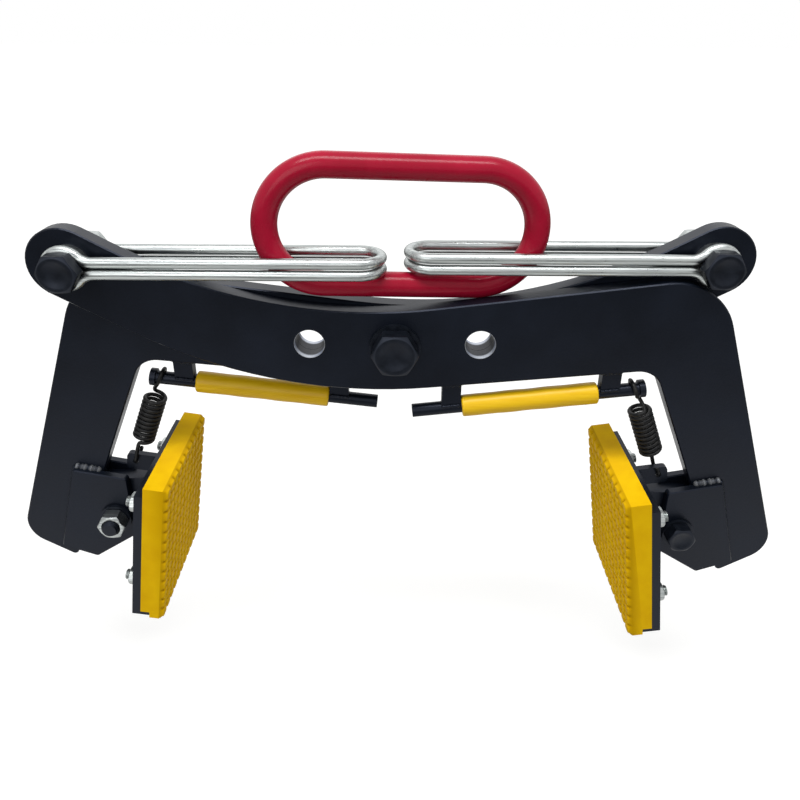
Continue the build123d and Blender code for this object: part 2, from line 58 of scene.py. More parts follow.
# Arm plates, as in the part's source
arm_y = 8.2
plate_thick = 16.0
under_slope = 5.4
belly_depth = 42.2
spare_hole = (73.0, 3.0)
spare_hole_radius = 13.0

# Links and lifting ring, as in the part's source
rod_radius = 4.5
rod_half_pitch = 4.9
link_half_width = 18.3
link_eye_radius = 14.8
link_bend_radius = 16.0
link_length = 257.5
ring_bar_radius = 10.75
ring_half_straight = 63.0
ring_end_radius = 49.25
ring_yaw = 5.0
ring_roll = 2.4

# Pads, as in the part's source
pad_tilt = 8.9
backing_x = 32.0
rubber_x = 40.0
face_x = 62.0
rebate_x = 48.5
rebate_z = -66.5
pad_low = -73.0
pad_high = 78.0
pad_half_width = 65.0
knob_rows = 13
knob_columns = 11
knob_gap = 3.2
knob_depth = 2.5
stud_diameter = 10.0
stud_flats = 16.0
stud_nut = 8.0
stud_tail = 4.0
stud_places = ((-45.0, -41.5), (-45.0, 46.5), (45.0, -41.5), (45.0, 46.5))

# Handles and springs, as in the part's source
handle_slope = 6.8
handle_depth = 68.6
handle_bar_radius = 6.0
hanger_width = 17.0
hanger_half_thick = 5.0
hanger_places = (50.5, 190.5)
grip_radius = 10.0
grip_gap = 1.5
spring_wire_radius = 1.8
spring_coil_radius = 8.95
spring_turns = 11
spring_pitch = 4.6
spring_hook_x = 213.0
lower_hook_radius = 7.0
hook_gap = 0.6
hook_opening = 60.0
tab_hole = (13.5, 59.5)

# Diameter, width across flats, head, nut and tail of each kind of bolt, and half the width it clamps
bolt_sizes = {
    "pivot": (24.0, 36.0, 15.0, 19.0, 5.0, 20.2),
    "lug": (20.0, 30.0, 12.5, 16.0, 4.0, 23.1),
    "hinge": (16.0, 24.0, 10.0, 13.0, 4.0, 19.0),
}

# Hexagons of bolts and nuts: reach of the eased corners and radius of the cone that trims them, as
# shares of the width across flats, the cone's slope, and the gap between a bore and what it is on
eased_corner = 0.569
trim_share = 0.475
trim_slope = 30.0
fit_gap = 0.05

# Weld beads. A bracket's beads go from its top edge round its two outer corners to its low edge, by x
# and z from the hinge. A lug's or tab's foot is its half thickness and its beads' low and high end.
bracket_bead = ((9.5, 50.1), (34.0, 55.0), (60.0, -36.0), (48.0, -40.7))
hinge_lug_foot = (7.6, -22.0, 44.0)
spring_tab_foot = (3.0, 52.0, 66.5)
bead_proud = 0.2


def middle(node):
    """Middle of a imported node's box, in millimetres from the pivot axis."""
    return (np.mean(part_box(node), axis=0) - pivot) / mm


lug = middle("left_lug_spacers")
hinge = middle("right_hinge_washers")


def linear(colour):
    """Linear red, green, blue and alpha of an sRGB hex.

    A dark share c of full becomes c / 12.92, and any other ((c + 0.055) / 1.055) to the power 2.4.
    """
    share = np.array([int(colour[at : at + 2], 16) for at in (1, 3, 5)]) / 255
    return (*np.where(share <= 0.04045, share / 12.92, ((share + 0.055) / 1.055) ** 2.4), 1.0)


def feed(node, inputs):
    """Sets each input of a node, or links it where the value is another node's output."""
    for key, value in inputs.items():
        if isinstance(value, bpy.types.NodeSocket):
            node.id_data.links.new(value, node.inputs[key])
        else:
            node.inputs[key].default_value = value


def add_node(tree, kind, inputs, **settings):
    """Adds a node with its settings, and feeds its inputs."""
    node = tree.nodes.new(kind)
    for key, value in settings.items():
        setattr(node, key, value)
    feed(node, inputs)
    return node


def new_finish(name):
    """Empty material: its node tree, its shader and the piece's own coordinates in metres."""
    material = bpy.data.materials.new(name)
    material.use_nodes = True
    tree = material.node_tree
    tree.nodes.clear()
    shader = add_node(tree, "ShaderNodeBsdfPrincipled", {})
    add_node(tree, "ShaderNodeOutputMaterial", {"Surface": shader.outputs["BSDF"]})
    place = add_node(tree, "ShaderNodeTexCoord", {}).outputs["Object"]
    return material, tree, shader, place


# Most values of a noise lie in this span
noise_span = {"From Min": 0.3, "From Max": 0.7}

# Sheen of the black finishes, a little blue
black_sheen = linear("#cfd8f2")


def mottled(tree, pattern, span, dark, light):
    """Colour that goes from dark to light as a pattern's value crosses a span.

    A mix of colours takes its share at input 0 and the colours at 6 and 7, and gives them at output 2.
    """
    share = add_node(tree, "ShaderNodeMapRange", {"Value": pattern, **span}).outputs[0]
    tones = {0: share, 6: linear(dark), 7: linear(light)}
    return add_node(tree, "ShaderNodeMix", tones, data_type="RGBA").outputs[2]


def satin_black_powder_coat():
    """Powder coat baked on steel plate: near black, a little blue, in clouds, under a fine orange peel.

    The mouths of the two spare holes are rubbed bare, and so are the crests of weld beads, where the
    steel shows bright.
    """
    material, tree, shader, place = new_finish("satin_black_powder_coat")
    cloud_size = 55 * mm
    clouds = {"Vector": place, "Scale": 1 / cloud_size, "Detail": 4.0}
    cloud = add_node(tree, "ShaderNodeTexNoise", clouds).outputs[0]
    paint = mottled(tree, cloud, noise_span, "#04070d", "#0c111a")
    satin = {"Value": cloud, **noise_span, "To Min": 0.3, "To Max": 0.42}
    gloss = add_node(tree, "ShaderNodeMapRange", satin).outputs[0]

    # The rub lies just inside a hole and grows towards the plates' faces.
    hole = (spare_hole[0] * mm, 0.0, pivot[2] + spare_hole[1] * mm)
    bore_margin = 0.2
    rub_radius = (spare_hole_radius + bore_margin) * mm
    rub_depth = {"From Min": 10 * mm, "From Max": 12.5 * mm}
    fold = add_node(tree, "ShaderNodeVectorMath", {0: place}, operation="ABSOLUTE").outputs[0]
    level = {0: fold, 1: (1.0, 0.0, 1.0)}
    flat = add_node(tree, "ShaderNodeVectorMath", level, operation="MULTIPLY").outputs[0]
    to_hole = {0: flat, 1: hole}
    away = add_node(tree, "ShaderNodeVectorMath", to_hole, operation="DISTANCE").outputs["Value"]
    within = {0: away, 1: rub_radius}
    inside = add_node(tree, "ShaderNodeMath", within, operation="LESS_THAN").outputs[0]
    depth = add_node(tree, "ShaderNodeSeparateXYZ", {"Vector": fold}).outputs["Y"]
    mouth = add_node(tree, "ShaderNodeMapRange", {"Value": depth, **rub_depth}).outputs[0]
    hole_rub = add_node(tree, "ShaderNodeMath", {0: inside, 1: mouth}, operation="MULTIPLY").outputs[0]
    crest = add_node(tree, "ShaderNodeAttribute", {}, attribute_name="crest").outputs["Fac"]
    bare = add_node(tree, "ShaderNodeMath", {0: hole_rub, 1: crest}, operation="MAXIMUM").outputs[0]
    worn = {0: bare, 6: paint, 7: linear("#b9bcc0")}
    colour = add_node(tree, "ShaderNodeMix", worn, data_type="RGBA").outputs[2]

    # The peel of a powder coat is about 1 mm; it is drawn at 1.6 mm so that it shows.
    peel_size = 1.6 * mm
    peel_depth = 0.25 * mm
    peels = {"Vector": place, "Scale": 1 / peel_size, "Detail": 2.0}
    peel = add_node(tree, "ShaderNodeTexNoise", peels).outputs[0]
    relief = {"Height": peel, "Strength": 0.35, "Distance": peel_depth}
    feed(
        shader,
        {
            "Base Color": colour,
            "Metallic": bare,
            "Roughness": gloss,
            "Specular IOR Level": 0.26,
            "Specular Tint": black_sheen,
            "Normal": add_node(tree, "ShaderNodeBump", relief).outputs[0],
        },
    )
    return material


def black_oxide_steel():
    """Blackened bolt steel: blue-black with a dull sheen, and a painted highlight, a lighter colour, on a
    head's rim.
    """
    material, tree, shader, place = new_finish("black_oxide_steel")
    patch_size = 7 * mm
    patch_span = {"From Min": 0.35, "From Max": 0.72}
    patches = {"Vector": place, "Scale": 1 / patch_size, "Detail": 5.0}
    patch = add_node(tree, "ShaderNodeTexNoise", patches).outputs[0]
    black = mottled(tree, patch, patch_span, "#070a0f", "#11151b")
    dull = {"Value": patch, **noise_span, "To Min": 0.3, "To Max": 0.48}
    # Painted highlight: the ring where a head's top meets its trimming is coloured lighter.
    rim_highlight = add_node(tree, "ShaderNodeAttribute", {}, attribute_name="rim_highlight").outputs["Fac"]
    rim_highlight_tones = {0: rim_highlight, 6: black, 7: linear("#1f232a")}

    # The grain of forged and blackened steel is a few tenths; it is drawn at 0.9 mm so that it shows.
    grain_size = 0.9 * mm
    grain_depth = 0.1 * mm
    grains = {"Vector": place, "Scale": 1 / grain_size, "Detail": 2.0}
    grain = add_node(tree, "ShaderNodeTexNoise", grains).outputs[0]
    relief = {"Height": grain, "Strength": 0.25, "Distance": grain_depth}
    feed(
        shader,
        {
            "Base Color": add_node(tree, "ShaderNodeMix", rim_highlight_tones, data_type="RGBA").outputs[2],
            "Roughness": add_node(tree, "ShaderNodeMapRange", dull).outputs[0],
            "Specular IOR Level": 0.3,
            "Specular Tint": black_sheen,
            "Normal": add_node(tree, "ShaderNodeBump", relief).outputs[0],
        },
    )
    return material


def bright_zinc_plate():
    """Zinc plated on drawn rod: silvery, with drawn streaks along X and small milky blooms."""
    material, tree, shader, place = new_finish("bright_zinc_plate")
    # Drawing marks are hair fine; they are drawn 1.1 mm wide so that they show.
    streak_length = 60 * mm
    streak_width = 1.1 * mm
    streak_depth = 0.15 * mm
    streak_span = {"From Min": 0.3, "From Max": 0.62}
    drawn = {"Vector": place, "Scale": (1 / streak_length, 1 / streak_width, 1 / streak_width)}
    stretch = add_node(tree, "ShaderNodeMapping", drawn).outputs[0]
    streaks = {"Vector": stretch, "Scale": 1.0, "Detail": 3.0}
    streak = add_node(tree, "ShaderNodeTexNoise", streaks).outputs[0]
    relief = {"Height": streak, "Strength": 0.3, "Distance": streak_depth}

    bloom_size = 9 * mm
    blooms = {"Vector": place, "Scale": 1 / bloom_size, "Detail": 4.0}
    bloom = add_node(tree, "ShaderNodeTexNoise", blooms).outputs[0]
    milky = {"Value": bloom, **noise_span, "To Min": 0.26, "To Max": 0.42}
    feed(
        shader,
        {
            "Base Color": mottled(tree, streak, streak_span, "#8b8f91", "#bfc4c2"),
            "Metallic": 1.0,
            "Roughness": add_node(tree, "ShaderNodeMapRange", milky).outputs[0],
            "Normal": add_node(tree, "ShaderNodeBump", relief).outputs[0],
        },
    )
    return material


def red_gloss_enamel():
    """Sprayed enamel on a forged bar: deep red, wet gloss over a slow wave of the forging below."""
    material, tree, shader, place = new_finish("red_gloss_enamel")
    cloud_size = 30 * mm
    clouds = {"Vector": place, "Scale": 1 / cloud_size, "Detail": 4.0}
    cloud = add_node(tree, "ShaderNodeTexNoise", clouds).outputs[0]

    wave_size = 7 * mm
    wave_depth = 0.5 * mm
    waves = {"Vector": place, "Scale": 1 / wave_size, "Detail": 2.0}
    wave = add_node(tree, "ShaderNodeTexNoise", waves).outputs[0]
    wet = {"Value": wave, **noise_span, "To Min": 0.24, "To Max": 0.36}
    relief = {"Height": wave, "Strength": 0.3, "Distance": wave_depth}
    feed(
        shader,
        {
            "Base Color": mottled(tree, cloud, noise_span, "#940b27", "#a4102f"),
            "Roughness": add_node(tree, "ShaderNodeMapRange", wet).outputs[0],
            "Specular IOR Level": 0.08,
            "Coat Weight": 0.2,
            "Coat Roughness": 0.18,
            "Normal": add_node(tree, "ShaderNodeBump", relief).outputs[0],
        },
    )
    return material


def moulded_yellow_rubber():
    """Moulded rubber: deep yellow, matt, a little darker in the grooves as painted shade, with a fine
    mould grain.
    """
    material, tree, shader, place = new_finish("moulded_yellow_rubber")
    cloud_size = 18 * mm
    clouds = {"Vector": place, "Scale": 1 / cloud_size, "Detail": 4.0}
    cloud = add_node(tree, "ShaderNodeTexNoise", clouds).outputs[0]
    skin = mottled(tree, cloud, noise_span, "#e6b304", "#efc10a")
    matt = {"Value": cloud, **noise_span, "To Min": 0.5, "To Max": 0.64}
    # Painted shade: the colour goes darker towards #c99b00 down in the grooves between the knobs.
    groove = add_node(tree, "ShaderNodeAttribute", {}, attribute_name="groove").outputs["Fac"]
    shaded = {0: groove, 6: skin, 7: linear("#c99b00")}

    # Mould grain is about half a millimetre; it is drawn at 1.2 mm so that it shows.
    grain_size = 1.2 * mm
    grain_depth = 0.25 * mm
    grains = {"Vector": place, "Scale": 1 / grain_size, "Detail": 3.0}
    grain = add_node(tree, "ShaderNodeTexNoise", grains).outputs[0]
    relief = {"Height": grain, "Strength": 0.3, "Distance": grain_depth}
    feed(
        shader,
        {
            "Base Color": add_node(tree, "ShaderNodeMix", shaded, data_type="RGBA").outputs[2],
            "Roughness": add_node(tree, "ShaderNodeMapRange", matt).outputs[0],
            "Specular IOR Level": 0.05,
            "Normal": add_node(tree, "ShaderNodeBump", relief).outputs[0],
        },
    )
    return material


def yellow_vinyl_sleeve():
    """Vinyl sleeve pulled over the bar: bright yellow, half gloss, with faint rub marks along X."""
    material, tree, shader, place = new_finish("yellow_vinyl_sleeve")
    rub_length = 40 * mm
    rub_width = 2.5 * mm
    rub_depth = 0.2 * mm
    pulled = {"Vector": place, "Scale": (1 / rub_length, 1 / rub_width, 1 / rub_width)}
    stretch = add_node(tree, "ShaderNodeMapping", pulled).outputs[0]
    rubs = {"Vector": stretch, "Scale": 1.0, "Detail": 3.0}
    rub = add_node(tree, "ShaderNodeTexNoise", rubs).outputs[0]
    half_gloss = {"Value": rub, **noise_span, "To Min": 0.28, "To Max": 0.42}
    relief = {"Height": rub, "Strength": 0.2, "Distance": rub_depth}
    feed(
        shader,
        {
            "Base Color": mottled(tree, rub, noise_span, "#e3b20a", "#eec31c"),
            "Roughness": add_node(tree, "ShaderNodeMapRange", half_gloss).outputs[0],
            "Specular IOR Level": 0.25,
            "Normal": add_node(tree, "ShaderNodeBump", relief).outputs[0],
        },
    )
    return material


def oil_black_spring_wire():
    """Oil blackened spring wire: black with a soft oily shine and thin brown-grey scale."""
    material, tree, shader, place = new_finish("oil_black_spring_wire")
    scale_size = 4 * mm
    scale_span = {"From Min": 0.4, "From Max": 0.75}
    flakes = {"Vector": place, "Scale": 1 / scale_size, "Detail": 4.0}
    scale = add_node(tree, "ShaderNodeTexNoise", flakes).outputs[0]
    oily = {"Value": scale, **noise_span, "To Min": 0.28, "To Max": 0.46}
    feed(
        shader,
        {
            "Base Color": mottled(tree, scale, scale_span, "#121315", "#2b2a29"),
            "Metallic": 0.1,
            "Roughness": add_node(tree, "ShaderNodeMapRange", oily).outputs[0],
            "Specular IOR Level": 0.15,
        },
    )
    return material


finishes = {
    "black_paint": satin_black_powder_coat(),
    "black_bolt": black_oxide_steel(),
    "zinc": bright_zinc_plate(),
    "red_paint": red_gloss_enamel(),
    "yellow_rubber": moulded_yellow_rubber(),
    "yellow_grip": yellow_vinyl_sleeve(),
    "black_spring": oil_black_spring_wire(),
}
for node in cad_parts.values():
    for index, packed in enumerate(node.data.materials):
        node.data.materials[index] = finishes[packed.name]


def grid_faces(rows, columns, rows_close):
    """Quads of a grid whose columns close on themselves: each point, its next, and the two a row on."""
    row = np.arange(rows if rows_close else rows - 1)[:, None]
    column = np.arange(columns)[None, :]
    next_row = (row + 1) % rows
    next_column = (column + 1) % columns
    corners = (
        row * columns + column,
        row * columns + next_column,
        next_row * columns + next_column,
        next_row * columns + column,
    )
    return np.stack(np.broadcast_arrays(*corners), axis=-1).reshape(-1, 4)


def shell(grid, rows_close):
    """Points and faces of a grid of rings; where its rows don't close, a flat face shuts each end."""
    rows, columns = grid.shape[:2]
    faces = grid_faces(rows, columns, rows_close).tolist()
    if not rows_close:
        ring = np.arange(columns)
        faces.append(ring[::-1].tolist())
        faces.append((ring + (rows - 1) * columns).tolist())
    return grid.reshape(-1, 3), faces


def joined(shells):
    """Several shells as one: their points, their faces and any value that they hold for each point."""
    points, faces, *values = zip(*shells)
    first = np.cumsum([0] + [len(part) for part in points])
    moved = [[corner + start for corner in face] for start, part in zip(first, faces) for face in part]
    return np.concatenate(points), moved, *[np.concatenate(part) for part in values]


def turned(points, side):
    """Points of the front arm's set, or for side -1 the same turned half round the vertical axis."""
    return points * np.array([side, side, 1.0])


def make_piece(name, points, faces, slot, *nodes):
    """Mesh object from points in millimetres, in a slot's finish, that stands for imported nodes.

    Grid faces are smooth where they bend by less than a set angle, and the end faces are flat.
    """
    smooth_below = 38
    mesh = bpy.data.meshes.new(name)
    mesh.from_pydata(points * mm + pivot, [], faces)
    mesh.polygons.foreach_set("use_smooth", [len(face) == 4 for face in faces])
    mesh.set_sharp_from_angle(angle=radians(smooth_below))
    mesh.materials.append(finishes[slot])
    piece = bpy.data.objects.new(name, mesh)
    bpy.context.scene.collection.objects.link(piece)
    if nodes:
        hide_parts(*nodes)
    return piece


def tube(path, outward, radius, sides, closed):
    """Round bar: at each path point a circle spanned by the outward direction and path way x outward.

    The radius is one number, or one for each path point.
    """
    if closed:
        step = np.roll(path, -1, axis=0) - np.roll(path, 1, axis=0)
    else:
        step = np.gradient(path, axis=0)
    step = step - outward * np.sum(step * outward, axis=1, keepdims=True)
    along = step / np.linalg.norm(step, axis=1, keepdims=True)
    across = np.cross(along, outward)
    angle = np.linspace(0, 2 * pi, sides, endpoint=False)[None, :, None]
    spread = np.broadcast_to(radius, len(path))[:, None, None]
    grid = path[:, None] + spread * (np.cos(angle) * outward[:, None] + np.sin(angle) * across[:, None])
    return shell(grid, closed)


def arc(centre, radius, first, last, count):
    """Points on a flat arc and their directions from its centre, as two columns."""
    angle = np.linspace(first, last, count)
    way = np.stack([np.cos(angle), np.sin(angle)], axis=1)
    return np.array(centre) + radius * way, way


def in_plane(flat, height, axis):
    """Flat points with a constant third coordinate put in at the axis."""
    return np.insert(flat, axis, height, axis=1)


def lifting_ring():
    """Round bar round a stadium: two half circles set apart by straights, tipped and then turned."""
    end_points = 49
    bar_sides = 48
    right, right_way = arc((ring_half_straight, 0), ring_end_radius, -pi / 2, pi / 2, end_points)
    left, left_way = arc((-ring_half_straight, 0), ring_end_radius, pi / 2, pi * 3 / 2, end_points)
    path = in_plane(np.concatenate([right, left]), 0, 1)
    outward = in_plane(np.concatenate([right_way, left_way]), 0, 1)
    points, faces = tube(path, outward, ring_bar_radius, bar_sides, True)
    turn = radians(ring_yaw)
    tip = radians(ring_roll)
    yaw = np.array([[cos(turn), -sin(turn), 0], [sin(turn), cos(turn), 0], [0, 0, 1]])
    roll = np.array([[cos(tip), 0, sin(tip)], [0, 1, 0], [-sin(tip), 0, cos(tip)]])
    return points @ (yaw @ roll).T + middle("lifting_ring"), faces


def rod_link():
    """Left link as one closed rod: front eye between its reverse bends, fold, rear eye, fold.

    Each stretch is a flat arc, and the straight runs are the gaps between arcs. The side of the rod
    that faces the middle of the folded pair stays its inward side all the way round.
    """
    bend_points = 12
    eye_points = 48
    fold_points = 40
    rod_sides = 24
    eye = link_eye_radius
    bend = link_bend_radius
    top = rod_half_pitch
    bend_x = sqrt((eye + bend) ** 2 - (top + bend) ** 2)
    touch = atan2(top + bend, bend_x)
    fold_x = link_length - rod_radius - link_half_width
    high, high_way = arc((bend_x, top + bend), bend, -pi / 2, touch - pi, bend_points)
    round_eye, eye_way = arc((0, 0), eye, touch, 2 * pi - touch, eye_points)
    low, low_way = arc((bend_x, -top - bend), bend, pi - touch, pi / 2, bend_points)
    half = np.concatenate([high[:-1], round_eye, low[1:]])
    half_way = np.concatenate([high_way[:-1], -eye_way, low_way[1:]])
    low_fold = arc((fold_x, 0), link_half_width, -pi / 2, pi / 2, fold_points)[0]
    path = np.concatenate(
        [
            in_plane(half, -link_half_width, 1),
            in_plane(low_fold, -top, 2),
            in_plane(half[::-1], link_half_width, 1),
            in_plane(low_fold[::-1], top, 2),
        ]
    )
    upward = np.zeros((fold_points, 3)) + [0, 0, 1]
    inward = np.concatenate(
        [in_plane(half_way, 0, 1), upward, in_plane(half_way[::-1], 0, 1), -upward]
    )
    points, faces = tube(path, inward, rod_radius, rod_sides, True)
    return points + lug, faces


def handle_point(x):
    """Point on the right handle's axis, which rises outward under the arm."""
    return np.array([x, -arm_y, x * tan(radians(handle_slope)) - handle_depth])


def in_pad(points):
    """Right pad's place: its own +X faces the stone, and turns to -X and down by the pad's tilt."""
    tilt = radians(pad_tilt)
    tipped_x = points[..., 0] * cos(tilt) + points[..., 2] * sin(tilt)
    tipped_z = points[..., 2] * cos(tilt) - points[..., 0] * sin(tilt)
    return np.stack([-tipped_x, -points[..., 1], tipped_z], axis=-1) + hinge


def joining_curve(start, start_way, end, end_way, count):
    """Cubic that leaves start along start_way and reaches end along end_way, without these two points."""
    share = np.linspace(0, 1, count + 2)[1:-1, None]
    rise = share**2 * (3 - 2 * share)
    leave = share * (1 - share) ** 2
    arrive = share**2 * (share - 1)
    return start + rise * (end - start) + leave * start_way + arrive * end_way


def pad_spring():
    """Right spring as one wire: lower hook, helix and upper hook, joined by cubics, along the line from
    the tab's hole to the handle bar. Returns the shell and the two ends of that line.
    """
    hook_points = 32
    turn_points = 24
    rise_points = 8
    cross_points = 20
    wire_sides = 14
    low = in_pad(np.array([tab_hole[0], 0, tab_hole[1]]))
    high = handle_point(spring_hook_x)
    span = np.linalg.norm(high - low)
    lower = lower_hook_radius
    upper = handle_bar_radius + hook_gap + spring_wire_radius
    body = spring_turns * spring_pitch
    body_low = (span + 2 * lower - upper - body) / 2
    round_hook = pi * 3 / 2 - radians(hook_opening)
    under, under_way = arc((0, lower), lower, -round_hook, 0, hook_points)
    over, over_way = arc((0, span), upper, 0, round_hook, hook_points)
    lower_hook = in_plane(under, 0, 0)
    upper_hook = in_plane(over, 0, 0)

    angle = np.linspace(pi / 2, 2 * pi * (spring_turns - 0.25), turn_points * spring_turns)
    winding_way = np.stack([np.cos(angle), np.sin(angle), 0 * angle], axis=1)
    climb = body_low + angle / (2 * pi) * spring_pitch
    winding = winding_way * spring_coil_radius + np.stack([0 * angle, 0 * angle, climb], axis=1)

    # How far each end of a joining cubic keeps its direction
    low_pull = 8
    coil_pull = 24
    high_pull = 16
    upward = np.array([0, 0, 1.0])
    aside = np.array([1.0, 0, 0])
    rise = joining_curve(lower_hook[-1], upward * low_pull, winding[0], -aside * low_pull, rise_points)
    coil_end = winding[-1]
    cross = joining_curve(coil_end, aside * coil_pull, upper_hook[0], upward * high_pull, cross_points)
    rise_way = np.zeros((rise_points, 3)) + [0, 1, 0]
    swing = np.linspace(-pi / 2, pi / 2, cross_points + 2)[1:-1]
    cross_way = np.stack([np.cos(swing), np.sin(swing), 0 * swing], axis=1)

    path = np.concatenate([lower_hook, rise, winding, cross, upper_hook])
    outward = np.concatenate(
        [in_plane(under_way, 0, 0), rise_way, winding_way, cross_way, in_plane(over_way, 0, 0)]
    )
    points, faces = tube(path, outward, spring_wire_radius, wire_sides, False)
    axis = (high - low) / span
    side = np.cross([0, 1.0, 0], axis)
    return points @ np.stack([side, np.cross(axis, side), axis]) + low, faces, low, high


def knob_height(y, z):
    """Height field of the pad's face, 0 on a knob and 1 down in a groove.

    Knobs stand at a steady pitch. Distance from a knob's middle is a rounded square's, the fourth root
    of the sum of fourth powers, and a smooth step falls from the knob's top to the groove. The fall
    starts a little further in than half the gap, so that the knobs' tops are rounded.
    """
    fall_share = 1.15
    pitch_y = 2 * pad_half_width / knob_columns
    pitch_z = (pad_high - pad_low) / knob_rows
    off_y = (y + pad_half_width) % pitch_y - pitch_y / 2
    off_z = (z - pad_low) % pitch_z - pitch_z / 2
    edge_y = off_y / (pitch_y / 2)
    edge_z = off_z / (pitch_z / 2)
    away = (edge_y**4 + edge_z**4) ** 0.25
    inner = 1 - fall_share * knob_gap / pitch_y
    fall = np.clip((away - inner) / (1 - inner), 0, 1)
    return fall**2 * (3 - 2 * fall)


def edge_round(distance, radius):
    """How far a rounded edge falls back at a distance from the side: a quarter circle."""
    near = np.clip(radius - distance, 0, radius)
    return radius - np.sqrt(radius**2 - near**2)


def rubber_block():
    """Right pad's rubber: a closed profile (face, top, back, rebate) carried across the pad's width.

    The face's points fall back by the knobs' height field and by a rounded edge at all four sides. The
    profile turns flat just behind that edge. Returns the shell and each point's share of groove, which
    the finish darkens as painted shade.
    """
    across_points = 177
    upright_points = 201
    edge_radius = 1.6
    flat_depth = 5.0
    flat_x = face_x - flat_depth
    spread = np.linspace(-pad_half_width, pad_half_width, across_points)
    climb = np.linspace(pad_low, pad_high, upright_points)
    y, z = np.meshgrid(spread, climb, indexing="ij")
    groove = knob_height(y, z)
    side = np.minimum(pad_half_width - np.abs(y), np.minimum(z - pad_low, pad_high - z))
    x = face_x - knob_depth * groove - edge_round(side, edge_radius)
    face = np.stack([x, y, z], axis=-1)
    corners = np.array(
        [
            (flat_x, pad_high),
            (rubber_x, pad_high),
            (rubber_x, rebate_z),
            (rebate_x, rebate_z),
            (rebate_x, pad_low),
            (flat_x, pad_low),
        ]
    )
    back = np.zeros((across_points, len(corners), 3))
    back[..., 0] = corners[:, 0]
    back[..., 1] = spread[:, None]
    back[..., 2] = corners[:, 1]
    grid = np.concatenate([face, back], axis=1)
    # Groove share for the painted shade in the grooves; the back carries none.
    shade = np.concatenate([groove, np.zeros((across_points, len(corners)))], axis=1)
    points, faces = shell(grid, False)
    return in_pad(points), [face[::-1] for face in faces], shade.reshape(-1)


# Directions round a bolt or nut, and the share 1 in all of them
round_angle = np.linspace(0, 2 * pi, 60, endpoint=False)
all_round = np.ones_like(round_angle)


def trimmed_hexagon(flats):
    """Hexagon with eased corners: the way to its edge in each direction, the radius of the cone that
    trims its corners, and how far that cone lies below the top at the edge.
    """
    off = round_angle % (pi / 3) - pi / 6
    edge = np.minimum(flats / 2 / np.cos(off), eased_corner * flats)
    cone = trim_share * flats
    return edge, cone, np.maximum(edge - cone, 0) * tan(radians(trim_slope))


def threaded_end(crest, cut, pitch, depth, end, diameter):
    """Radius and depth of the rings of a threaded end and its tip.

    The radius dips from the crest by the cut once a pitch, on a line that winds round. The tip narrows
    to a share of the diameter, and the last ring is small enough to shut it.
    """
    thread = crest - cut * (0.5 - 0.5 * np.cos(2 * pi * depth / pitch + round_angle))
    tip = [all_round * diameter * 0.4, all_round * diameter * 0.02]
    radius = np.concatenate([thread, tip])
    return radius, np.concatenate([depth * all_round, [all_round * end, all_round * end]])


def on_axis(seat, outward, radius, height):
    """Rings of a radius and height round an axis along Y that leaves the seat outward, -1 or +1."""
    x = radius * np.cos(round_angle)
    z = radius * np.sin(round_angle) * -outward
    y = height * outward + 0 * round_angle
    return np.stack(np.broadcast_arrays(x, y, z), axis=-1) + seat


def hex_bolt(seat, outward, diameter, flats, head, grip, nut, tail):
    """Bolt as a profile turned about its axis: dished head top, trimmed corners, shank and threaded end.

    The head's rings take the hexagon's edge instead of a radius, and its cone lowers the corners. A
    decimal in a ring is a share of the size beside it. The thread starts inside the nut. Returns the
    shell and each point's share of painted rim highlight, 1 on the ring where the head's top meets its
    trimming, which the finish colours lighter.
    """
    edge, cone, drop = trimmed_hexagon(flats)
    dish = head - 0.035 * flats
    pitch = diameter / 8
    cut = 0.55 * pitch
    start = grip + nut / 2
    end = grip + nut + tail
    rings = [
        (all_round * flats * 0.02, all_round * dish),
        (all_round * flats * 0.3, all_round * dish),
        (all_round * flats * 0.35, all_round * head),
        (all_round * flats * 0.45, all_round * head),
        (all_round * cone, all_round * (head - 0.006 * flats)),
        (edge * 0.995, head - drop - 0.012 * flats),
        (edge, head - drop - 0.03 * flats),
        (edge, all_round * 0.02 * flats),
        (edge * 0.985, all_round * 0),
        (all_round * diameter / 2, all_round * 0),
        (all_round * diameter / 2, all_round * -start),
    ]
    rim_ring = 4
    head_radius, head_height = np.swapaxes(rings, 0, 1)
    depth = np.arange(start, end - pitch / 2, pitch / 8)[:, None]
    end_radius, end_depth = threaded_end(diameter / 2, cut, pitch, depth, end, diameter)
    radius = np.concatenate([head_radius, end_radius])
    height = np.concatenate([head_height, -end_depth])
    points, faces = shell(on_axis(seat, outward, radius, height), False)
    # Painted highlight mask for the finish: 1 on the rim ring, 0 elsewhere.
    rim_highlight = np.zeros(radius.shape)
    rim_highlight[rim_ring] = 1
    return points, [face[::-1] for face in faces], rim_highlight.reshape(-1)


def hex_nut_rings(diameter, flats, height):
    """Radius and height of a nut's rings, a closed profile: bore, trimmed top, flats, trimmed foot."""
    edge, cone, drop = trimmed_hexagon(flats)
    bore = diameter / 2 + fit_gap
    lead = 0.06 * diameter
    rings = [
        (all_round * bore, all_round * (height - lead)),
        (all_round * (bore + lead), all_round * height),
        (all_round * cone, all_round * height),
        (edge * 0.995, height - drop - 0.008 * flats),
        (edge, height - drop - 0.025 * flats),
        (edge, drop + 0.025 * flats),
        (edge * 0.995, drop + 0.008 * flats),
        (all_round * cone, all_round * 0),
        (all_round * (bore + lead), all_round * 0),
        (all_round * bore, all_round * lead),
    ]
    return np.swapaxes(rings, 0, 1)


def bolt_and_nut(kind, place, outward):
    """Bolt of a kind along Y through a place, its head outward, and its nut on the other side."""
    diameter, flats, head, nut, tail, half = bolt_sizes[kind]
    reach = np.array([0, outward * half, 0])
    bolt = hex_bolt(place + reach, outward, diameter, flats, head, 2 * half, nut, tail)
    radius, height = hex_nut_rings(diameter, flats, nut)
    points, faces = shell(on_axis(place - reach, -outward, radius, height), True)
    return bolt, (points, [face[::-1] for face in faces])


